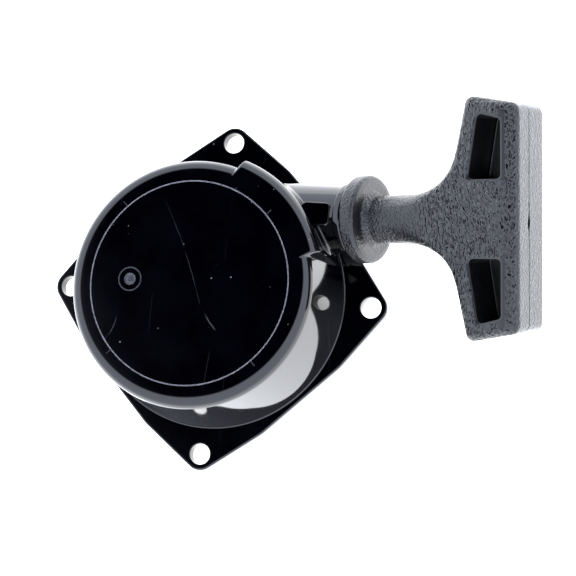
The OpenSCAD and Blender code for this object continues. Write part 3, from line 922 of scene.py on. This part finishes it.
def grip_body():
    """Stem and T-bar: two faces and a rounded edge all the way round, thinner towards the stem."""
    side = grip_side()
    across = 40
    steps = [-math.cos(math.pi * k / across) * 0.35 + (2 * k / across - 1) * 0.65 for k in range(across + 1)]
    root = [(side[0][0] * t, side[0][1]) for t in steps[1:-1]]
    end = [(side[-1][0] * t, GRIP_END) for t in steps[1:-1]]
    outline = [(-y, z) for y, z in reversed(side)] + root + side + end[::-1]
    points, rings = grip_edge_points(outline)
    faces = skin(rings, len(outline))
    for base in (0, (rings - 1) * len(outline)):
        faces += grip_face(points, base, len(side), steps, len(outline))
    widths, heights = zip(*side)
    return make_object("grip", [shape_grip(p, widths, heights) for p in points], faces, AT_GRIP)


def grip_pocket(side):
    """Cutter for one pocket, opening out over its last half millimetre."""
    corners = [(12.4, 45.0, 1.3), (32.1, 48.3, 1.3), (30.3, 55.6, 1.3), (12.4, 55.6, 1.3)]
    outline = anticlockwise(rounded([(side * y, z, r) for y, z, r in corners], math.radians(15)))
    front = -BAR_T / 2
    floor_x = front + POCKET_DEPTH
    levels = [(0.5, floor_x), (0.15, floor_x - 0.15), (0, floor_x - 0.5),
              (-0.1, front + 0.7), (-0.2, front + 0.45), (-0.75, front + 0.25), (-1.05, front - 0.02),
              (-1.6, front - 0.6)]
    count = len(outline)
    points = []
    for depth, x in levels:
        points += [(x, y, z) for y, z in inset(outline, depth)]
    ends = [tuple(range(count)), tuple(range((len(levels) - 1) * count, len(levels) * count))]
    return make_object("pocket", points, skin(len(levels), count) + ends, AT_GRIP)


def grip_collar():
    """The round collar that closes the outlet, with a fillet into the stem."""
    top = COLLAR_Z + COLLAR_T
    loop = rounded([(0, COLLAR_Z, 0), (COLLAR_R, COLLAR_Z, 1.0), (COLLAR_R, top - 0.3, 1.8), (12.0, top, 2.0),
                    (8.8, top - 0.1, 1.4), (7.4, top + 1.7, 1.4), (6.6, top + 4.5, 0), (0, top + 4.5, 0)],
                   math.radians(10))
    return revolve("collar", loop, 128, AT_GRIP)


def handle(rough, smooth):
    """The whole handle moulding, with the pinched cut in its end face."""
    piece = grip_body()
    combine(piece, [grip_collar()], "UNION")
    bore = [(0, -1), (2.3, -1), (2.3, 33), (6, 33), (6, 50), (0, 50)]
    torn = [(-0.35, -5.2), (0.15, -4.9), (0.3, -3.1), (0.75, -1.2), (0.5, 0.4), (0.2, 2.0), (0.3, 4.6),
            (-0.1, 5.2), (-0.45, 4.4), (-0.3, 2.2), (-0.75, 0.2), (-1.1, -2.1), (-0.5, -3.6)]
    slit = prism("slit", [(x + SEAM_X, y) for x, y in torn], 49, GRIP_END + 2, 0.05, AT_GRIP)
    combine(piece, [revolve("bore", bore, 48, AT_GRIP), slit, grip_pocket(1), grip_pocket(-1)], "DIFFERENCE")
    piece.name = "grip_moulding"
    shade(piece, 40, rough)
    piece.data.materials.append(smooth)
    polish(piece)
    return stands_for(piece, "grip", "grip_plastic", "handle")


def polish(piece):
    """Gives the pockets, bore and chamber the smooth finish."""
    back = AT_GRIP.inverted()
    front = -BAR_T / 2
    for face in piece.data.polygons:
        p = back @ (face.center / MM)
        deep_enough = front + 0.04 < p.x < front + POCKET_DEPTH + 0.2
        in_pocket = deep_enough and 11.2 < abs(p.y) < 33.2 and 43.9 < p.z < 56.8
        in_bore = math.hypot(p.x, p.y) < 6.1 and COLLAR_Z + 0.1 < p.z < 51
        if in_pocket or in_bore:
            face.material_index = 1


# ---------------------------------------------------------------- inner parts

PLATE_R = 27.5
REEL_R = 33.0
DRUM_R = 18.0
REEL_LOW, REEL_HIGH = 11.6, 22.4
REEL_FLANGE_T = 1.6
HUB_R = 13.0
SLEEVE_R = 11.0
SLEEVE_TOP = 33.4
KNOT_AT = 14.2
KNOT_POCKET_R = 3.1
PIN_R = 2.0
PAWL_LEN = 15.0
PEG_AT = 10.0
PEG_R = 1.4
PAWL_REST = math.radians(-100)
PAWL_TURN = math.radians(28)
CASE_R = 33.0
CASE_T = 0.8
ROPE_R = 1.75
ROPE_Y = MOUTH.y
WRAP_Z = 15.1
WRAP_STEP = 3.6
SCREW_R = 2.45
CHAMBER_Z = 33.0
WASHER_T = 1.1
HALF_TURN = Matrix.Rotation(math.pi, 4, "Z")


def ring(name, inner, outer, z0, z1, edge, matrix=Matrix(), steps=96):
    """A washer or bush with rounded edges."""
    loop = [(inner, z0, edge), (outer, z0, edge), (outer, z1, edge), (inner, z1, edge)]
    return revolve(name, rounded(loop, math.radians(22)), steps, matrix)


def finish_part(piece, body, slot, material, *nodes, angle=35):
    """Shades a plain piece in one material and puts it on its body."""
    shade(piece, angle, material)
    return stands_for(piece, body, slot, *nodes)


def rope_guide(material):
    """Bell-mouthed bush: both ends of the bore flare out in a quarter circle."""
    inner, outer, length, bell = 2.4, 6.48, 8.9, 1.8
    arcs = [math.pi / 2 * k / 10 for k in range(11)]
    loop = [(inner + 0.1 + bell * (1 - math.cos(a)), length - bell + bell * math.sin(a)) for a in arcs]
    loop += [(outer - 0.3, length), (outer, length - 0.3), (outer, 0.3), (outer - 0.3, 0)]
    loop += [(inner + 0.1 + bell * (1 - math.cos(a)), bell - bell * math.sin(a)) for a in reversed(arcs)]
    piece = revolve("rope_guide_bush", [(r, z - 9.0) for r, z in loop], 96, AT_ROPE)
    return finish_part(piece, "housing", "pressed_steel", material, "rope_guide")


def post_insert(material):
    """Brass bush with a head, moulded into the post."""
    top = 20.0
    loop = rounded([(SCREW_R + 0.02, PILOT_Z, 0.2), (PILOT_R, PILOT_Z, 0.3), (PILOT_R, POST_Z - 0.02, 0.1),
                    (3.59, POST_Z - 0.02, 0), (3.59, top, 0.3), (SCREW_R + 0.02, top, 0.2)], math.radians(20))
    return finish_part(revolve("post_bush", loop, 96), "housing", "brass", material, "post_insert")


def spring_case(material):
    """Drawn steel cup with a rolled inner edge."""
    low, high = cad_box("spring_case")
    low, high = low.z, high.z
    loop = rounded([(SLEEVE_R + 1, low, 0.2), (CASE_R, low, 1.4), (CASE_R, high, 0.2),
                    (CASE_R - CASE_T, high, 0.2), (CASE_R - CASE_T, low + CASE_T, 0.8),
                    (SLEEVE_R + 1, low + CASE_T, 0.2)], math.radians(15))
    piece = revolve("spring_cup", loop, 144)
    vents = []
    for first in (25, 145, 265):
        outline = slot_outline([polar(22, math.radians(first + k * 4)) for k in range(9)], 1.6)
        vents.append(prism("vent", outline, low - 1, low + 3, 0.05))
    combine(piece, vents, "DIFFERENCE")
    return finish_part(piece, "housing", "pressed_steel", material, "spring_case")


def recoil_spring(material):
    """Flat spiral strip."""
    turns, thick = 9, 0.6
    low, high = cad_box("recoil_spring")
    low, high = low.z, high.z
    inner, outer = SLEEVE_R + 0.9, CASE_R - CASE_T - 0.7
    steps = turns * 64
    points = []
    for i in range(steps + 1):
        t = i / steps
        a = math.radians(40 + 360 * turns * t)
        r = inner + (outer - inner) * t ** 0.8
        for side, z in ((-1, low), (1, low), (1, high), (-1, high)):
            points.append((*polar(r + side * thick / 2, a), z))
    ends = [(3, 2, 1, 0), tuple(4 * steps + k for k in range(4))]
    piece = make_object("spiral_spring", points, skin(steps + 1, 4) + ends)
    return finish_part(piece, "housing", "spring_steel", material, "recoil_spring")


def flat_washers(steel, nylon_white):
    """The washers under the screw's head, on the post and under the handle's knot."""
    low, high = cad_box("spring_washer")
    piece = ring("washer", SCREW_R + 0.2, high.x, low.z, high.z, 0.25)
    finish_part(piece, "housing", "zinc_steel", steel, "spring_washer")
    low, high = cad_box("thrust_washer")
    piece = ring("thrust_ring", 8.06, high.x, low.z, high.z, 0.15)
    finish_part(piece, "housing", "washer_nylon", nylon_white, "thrust_washer")
    piece = ring("knot_disc", 2.3, 5.7, CHAMBER_Z + 0.02, CHAMBER_Z + WASHER_T - 0.08, 0.2, AT_ROPE)
    finish_part(piece, "rope_end", "zinc_steel", steel, "knot_washer")


def centre_screw(material):
    """Cap screw with a knurled head and a hexagon socket."""
    low = cad_box("centre_screw")[0].z
    high = cad_box("centre_screw")[1].z
    head = rounded([(0, low, 0), (4.8, low, 0.5), (4.8, low + 2.4, 0.15), (SCREW_R, low + 2.4, 0.2),
                    (SCREW_R, high, 0.5), (0, high, 0)], math.radians(18))
    piece = revolve("cap_screw", head, 96)
    cutters = [prism("socket", [polar(2.3, math.tau * k / 6) for k in range(6)], low - 1, low + 1.4, 0.05)]
    knurls = 30
    for k in range(knurls):
        place = Matrix.Rotation(math.tau * k / knurls, 4, "Z") @ Matrix.Translation((4.9, 0, 0))
        notch = [(-0.28, 0), (0, -0.24), (0.3, 0), (0, 0.24)]
        cutters.append(prism("knurl", notch, low + 0.6, low + 2.5, 0.02, place))
    joined = cutters[1]
    combine(joined, cutters[2:], "UNION")
    combine(piece, [cutters[0], joined], "DIFFERENCE")
    return finish_part(piece, "housing", "zinc_steel", material, "centre_screw", angle=28)


def friction_spring(material):
    """Light coil behind the friction plate's hub."""
    turns, steps, wire = 560, 140, 0.3
    path = []
    for i in range(steps + 1):
        a = math.radians(turns * i / steps)
        path.append((*polar(6.4, a), PILOT_Z + wire + 0.03 + 1.14 * i / steps))
    piece = tube("hub_coil", path, wire, 12)
    return finish_part(piece, "housing", "spring_steel", material, "friction_spring")


def peg_point(turn):
    """Place of a pawl's peg in the friction plate once the plate has turned."""
    x, y = polar(PEG_AT, PAWL_REST + turn)
    p = Vector((PAWL_PIN_R + x, y))
    return polar(p.length, math.atan2(p.y, p.x) - turn)


def friction_plate(material):
    """Stamped plate with a pressed ring, two curved peg slots and two round windows."""
    low, high = cad_box("friction_plate")
    low, high = low.z, high.z
    press = 0.35
    under = [(PILOT_R + 0.06, low, 0.2), (9.6, low, 0.5), (10.4, low + press, 0.5),
             (13.2, low + press, 0.5), (14.0, low, 0.5), (24.2, low, 0.5), (25.0, low + press, 0.5),
             (PLATE_R, low + press, 0.3)]
    loop = rounded(under + [(PLATE_R, high, 0.3), (PILOT_R + 0.06, high, 0.2)], math.radians(15))
    piece = revolve("stamped_plate", loop, 160)
    cutters = []
    path = [peg_point(PAWL_TURN * k / 12) for k in range(13)]
    for k in range(2):
        slot = slot_outline(path, PEG_R + 0.3)
        turned = Matrix.Rotation(math.pi * k, 4, "Z")
        cutters.append(prism("peg_slot", slot, low - 1, high + 1, 0.05, turned))
        place = turned @ Matrix.Rotation(math.radians(75), 4, "Z") @ Matrix.Translation((17, 0, 0))
        window = [(0, low - 1), (4.65, low - 1), (4.65, low), (4.5, low + 0.2), (4.5, high + 1),
                  (0, high + 1)]
        cutters.append(revolve("window", window, 64, place))
    combine(piece, cutters, "DIFFERENCE")
    return finish_part(piece, "friction_plate", "pressed_steel", material, "friction_plate")


def pawl(name, node, body, matrix, material):
    """Sintered pawl: round eye, hooked tip and the peg that the friction plate moves."""
    low, high = cad_box(node)
    low, high = low.z + 1.3, high.z
    place = matrix @ Matrix.Translation((PAWL_PIN_R, 0, 0)) @ Matrix.Rotation(PAWL_REST, 4, "Z")
    eye = [polar(4.0, math.radians(a)) for a in range(96, 272, 8)]
    tip = rounded([(0.6, -3.9, 0), (6.0, -3.2, 6.0), (PAWL_LEN * 0.6, -2.6, 3), (PAWL_LEN - 1, -1.6, 0.5),
                   (PAWL_LEN, 1.2, 0.4), (PAWL_LEN - 2, 2.6, 0.9), (6.5, 3.4, 8.0), (0.2, 3.98, 0)],
                  math.radians(12))
    piece = prism(name, eye + tip, low, high, 0.35, place)
    peg = rounded([(0, low - 1.3, 0), (PEG_R, low - 1.3, 0.25), (PEG_R, low + 2.0, 0), (0, low + 2.0, 0)],
                  math.radians(20))
    combine(piece, [revolve("peg", peg, 40, place @ Matrix.Translation((PEG_AT, 0, 0)))], "UNION")
    bore = [(0, low - 3), (PIN_R + 0.3, low - 3), (PIN_R + 0.3, low), (PIN_R + 0.05, low + 0.25),
            (PIN_R + 0.05, high + 3), (0, high + 3)]
    combine(piece, [revolve("bore", bore, 48, place)], "DIFFERENCE")
    return finish_part(piece, body, "pawl_metal", material, node)


def pawl_pins(material):
    """Short rivets with a dimpled head."""
    low, high = cad_box("pawl_pin_a")
    for node, matrix in (("pawl_pin_a", Matrix()), ("pawl_pin_b", HALF_TURN)):
        loop = rounded([(0, low.z + 0.12, 0), (0.7, low.z + 0.12, 0), (0.9, low.z, 0), (PIN_R, low.z, 0.35),
                        (PIN_R, high.z, 0.3), (0, high.z, 0)], math.radians(20))
        piece = revolve(node + "_rivet", loop, 48, matrix @ Matrix.Translation((PAWL_PIN_R, 0, 0)))
        finish_part(piece, "reel", "zinc_steel", material, node)


def reel(material):
    """Rope reel with rounded rims, shallow pockets between ribs and the rope's knot pocket."""
    top, low = SLEEVE_TOP, cad_box("reel")[0].z
    under, over = REEL_LOW + REEL_FLANGE_T, REEL_HIGH - REEL_FLANGE_T
    loop = rounded([(8.06, low, 0.4), (HUB_R, low, 0.5), (HUB_R, REEL_LOW, 0.5), (REEL_R, REEL_LOW, 0.7),
                    (REEL_R, under, 0.7), (DRUM_R, under, 0.8), (DRUM_R, over, 0.8), (REEL_R, over, 0.7),
                    (REEL_R, REEL_HIGH, 0.7), (SLEEVE_R, REEL_HIGH, 0.6), (SLEEVE_R, top, 0.4),
                    (8.06, top, 0.4)], math.radians(15))
    piece = revolve("rope_reel", loop, 192)
    cutters = []
    for k in range(8):
        arc = [math.radians(45 * k + 4 + 37 * i / 12) for i in range(13)]
        sector = [polar(30.8, a) for a in arc] + [polar(22.8, a) for a in reversed(arc)]
        cutters.append(prism("pocket", rounded([(x, y, 1.0) for x, y in sector], math.radians(30)),
                             REEL_LOW - 1.0, REEL_LOW + 0.6, 0.3))
    for a in (30, 150, 210, 330):
        place = Matrix.Translation((*polar(DRUM_R - 4.2, math.radians(a)), 0))
        cutters.append(revolve("lightening", [(0, 13.6), (2.2, 13.6), (2.2, 35), (0, 35)], 40, place))
    for matrix in (Matrix(), HALF_TURN):
        hole = [(0, 6), (PIN_R + 0.01, 6), (PIN_R + 0.01, 13.1), (0, 13.1)]
        cutters.append(revolve("pin_hole", hole, 40, matrix @ Matrix.Translation((PAWL_PIN_R, 0, 0))))
    pocket = [(0, 6), (KNOT_POCKET_R + 0.3, 6), (KNOT_POCKET_R + 0.3, low), (KNOT_POCKET_R, low + 0.3),
              (KNOT_POCKET_R, WRAP_Z + KNOT_POCKET_R), (0, WRAP_Z + KNOT_POCKET_R)]
    cutters.append(revolve("knot_pocket", pocket, 64, Matrix.Translation((0, KNOT_AT, 0))))
    through = Matrix.Translation((0, KNOT_AT, WRAP_Z)) @ Matrix.Rotation(-math.pi / 2, 4, "X")
    hole = [(0, 0), (2.3, 0), (2.3, 3.4), (2.9, 4.2), (2.9, 8), (0, 8)]
    cutters.append(revolve("rope_hole", hole, 40, through))
    combine(piece, cutters, "DIFFERENCE")
    return finish_part(piece, "reel", "reel_plastic", material, "reel")


def rope_on_reel(material):
    """The wound rope as one cord: up and down the drum in three layers, ending where the lead begins."""
    first = DRUM_R + ROPE_R + 0.05
    low, high = WRAP_Z, WRAP_Z + 3.7
    turns = [(first, high), (first, low), (first + WRAP_STEP, low), (first + WRAP_STEP, high),
             (first + 2 * WRAP_STEP, high), (ROPE_Y, low)]
    path = []
    per_turn = 72
    for turn, (r, z) in enumerate(turns):
        last_r, last_z = turns[max(turn - 1, 0)]
        count = per_turn if turn < 5 else int(per_turn * 330 / 360) + 1
        for k in range(count):
            share = smoothstep(k / 12)
            angle = math.radians(61 - 360 * k / per_turn)
            path.append((*polar(last_r + (r - last_r) * share, angle), last_z + (z - last_z) * share))
    piece = cord("wound_rope", path, ROPE_R, 14)
    return finish_part(piece, "reel", "rope", material, "rope_wound", angle=60)


def knot(name, radius, tail, matrix, material, body, node):
    """A tight overhand knot: a trefoil of the same cord with a short tail."""
    path = []
    for k in range(97):
        t = math.tau * k / 96
        path.append(matrix @ Vector(((math.sin(t) + 2 * math.sin(2 * t)) / 3 * radius * 0.56,
                                     (math.cos(t) - 2 * math.cos(2 * t)) / 3 * radius * 0.56,
                                     -math.sin(3 * t) * radius * 0.3)))
    piece = cord(name, path, radius * 0.47, 14)
    piece_tail = cord(name + "_tail", [matrix @ Vector(p) for p in tail], ROPE_R, 14)
    finish_part(piece_tail, body, "rope", material, angle=60)
    return finish_part(piece, body, "rope", material, node, angle=60)


def rope_lead(material):
    """The free rope: from the reel through the outlet to the grip's knot."""
    bend = [(0, 0), (6, 0), (12, 0), (20, 0), (28, 0.02), (33, 0.25), (38, 0.95), (43, 2.25)]
    knots = [(x, ROPE_Y, WRAP_Z + up) for x, up in bend]
    knots += [tuple(AT_ROPE @ Vector((0, 0, d))) for d in (-2, 8)]
    path = catmull(knots, 5)
    steps = 150
    start = AT_ROPE @ Vector((0, 0, 8))
    finish = AT_ROPE @ Vector((0, 0, CHAMBER_Z + WASHER_T))
    path += [start.lerp(finish, k / steps) for k in range(1, steps + 1)]
    piece = cord("pull_rope", path, ROPE_R, 16)
    shade(piece, 60, material)
    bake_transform(piece)
    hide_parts("rope_lead")
    return piece


def inner_parts():
    """Everything that the housing and the handle hold, each piece in its own metal, nylon or cord."""
    zinc = metal("zinc_plate", (0.62, 0.63, 0.64), (0.50, 0.50, 0.50), (0.18, 0.32), (1, 1, 6), 0.004)
    pressed = metal("pressed_steel", (0.50, 0.51, 0.52), (0.36, 0.36, 0.37), (0.26, 0.42),
                    (5, 0.25, 1), 0.006)
    blued = metal("blued_strip", (0.15, 0.18, 0.23), (0.21, 0.20, 0.20), (0.2, 0.34), (1, 1, 8), 0.004)
    sintered = metal("sintered_steel", (0.30, 0.30, 0.31), (0.20, 0.20, 0.21), (0.38, 0.55), (1, 1, 1), 0.02)
    brass = metal("turned_brass", (0.74, 0.56, 0.27), (0.62, 0.44, 0.19), (0.16, 0.28), (1, 1, 7), 0.004)
    ivory = nylon("ivory_nylon", (0.66, 0.63, 0.54), (0.56, 0.52, 0.43))
    white = nylon("white_nylon", (0.78, 0.77, 0.72), (0.70, 0.69, 0.63))
    laid, straight = braided_rope("rope_with_lay", True), braided_rope("rope_straight", False)
    rope_guide(pressed)
    post_insert(brass)
    spring_case(pressed)
    recoil_spring(blued)
    flat_washers(zinc, white)
    centre_screw(zinc)
    friction_spring(blued)
    friction_plate(pressed)
    pawl("pawl_east", "pawl_a", "pawl_a", Matrix(), sintered)
    pawl("pawl_west", "pawl_b", "pawl_b", HALF_TURN, sintered)
    pawl_pins(zinc)
    reel(ivory)
    rope_on_reel(laid)
    at_reel = Matrix.Translation((0, KNOT_AT, WRAP_Z - 0.2))
    tail = [(0, 0, 0.2), (0, 1.8, 0.2), (0, DRUM_R - KNOT_AT - 0.5, 0.2)]
    knot("reel_knot_lobes", 2.7, tail, at_reel, laid, "reel", "reel_knot")
    at_knot = AT_ROPE @ Matrix.Translation((0, 0, CHAMBER_Z + WASHER_T + 4.2))
    tail = [(0, 0, -4.1), (0, 0, -2), (0, 0, 0)]
    knot("grip_knot_lobes", 3.6, tail, at_knot, laid, "rope_end", "handle_knot")
    rope_lead(straight)


# ---------------------------------------------------------------- light, floor and camera

FLOOR_HALF = 1500
FLOOR_GLOW = 2.3
RING_GLOW = 3.25
DARK_CENTRE = (0.0, 0.26, 0.966)
DARK_GLOW = 0.002
CAMERA_AT = (165.2, -63.4, 522.15)
CAMERA_AIM = (28.98, 2.66, 20.0)
CAMERA_ROLL = -5.97
CAMERA_LENS = 99.58


def camera():
    """Camera above and in front of the object, at the picture's angle."""
    data = bpy.data.cameras.new("camera")
    data.lens = CAMERA_LENS
    data.sensor_width = 36
    data.clip_start = 0.01
    piece = bpy.data.objects.new("camera", data)
    bpy.context.scene.collection.objects.link(piece)
    place, aim = Vector(CAMERA_AT) * MM, Vector(CAMERA_AIM) * MM
    look = (aim - place).normalized()
    right = look.cross(Vector((0, 1, 0))).normalized()
    up = right.cross(look)
    axes = Matrix((right, up, -look)).transposed()
    piece.matrix_world = (Matrix.Translation(place) @ axes.to_4x4()
                          @ Matrix.Rotation(math.radians(-CAMERA_ROLL), 4, "Z"))
    bpy.context.scene.camera = piece


def surroundings():
    """A bright tent with a round dark opening overhead, where the camera looks in."""
    world = bpy.data.worlds.new("studio")
    bpy.context.scene.world = world
    world.use_nodes = True
    tree = world.node_tree
    place = tree.nodes.new("ShaderNodeTexCoord").outputs["Generated"]
    towards = tree.nodes.new("ShaderNodeVectorMath")
    towards.operation = "DOT_PRODUCT"
    towards.inputs[1].default_value = DARK_CENTRE
    tree.links.new(place, towards.inputs[0])
    opening = tree.nodes.new("ShaderNodeMapRange")
    opening.interpolation_type = "SMOOTHSTEP"
    edge = (math.cos(math.radians(22)), math.cos(math.radians(35)))
    for socket, value in zip(("From Min", "From Max", "To Min", "To Max"), (*edge, DARK_GLOW, RING_GLOW)):
        opening.inputs[socket].default_value = value
    tree.links.new(towards.outputs["Value"], opening.inputs["Value"])
    background = tree.nodes["Background"]
    background.inputs["Color"].default_value = (0.80, 0.86, 1.0, 1)
    tree.links.new(opening.outputs["Result"], background.inputs["Strength"])


def floor():
    """Wide pale floor just under the mounting face."""
    corners = [(x * FLOOR_HALF, y * FLOOR_HALF, -0.1) for x, y in ((-1, -1), (1, -1), (1, 1), (-1, 1))]
    plane = make_object("floor", corners, [(0, 1, 2, 3)])
    plane.data.materials.append(pale_floor())


camera()
surroundings()
floor()
bpy.context.scene.view_settings.view_transform = "Standard"

housing(gloss_black(), cut_plastic("scribed", (0.24, 0.24, 0.26), (0.13, 0.13, 0.145)),
        cut_plastic("gate_nub", (0.034, 0.035, 0.045), (0.010, 0.010, 0.015)),
        cut_plastic("gate_ring", (0.016, 0.017, 0.026), (0.006, 0.006, 0.010)))
handle(grained_grip(), smooth_grip())
inner_parts()
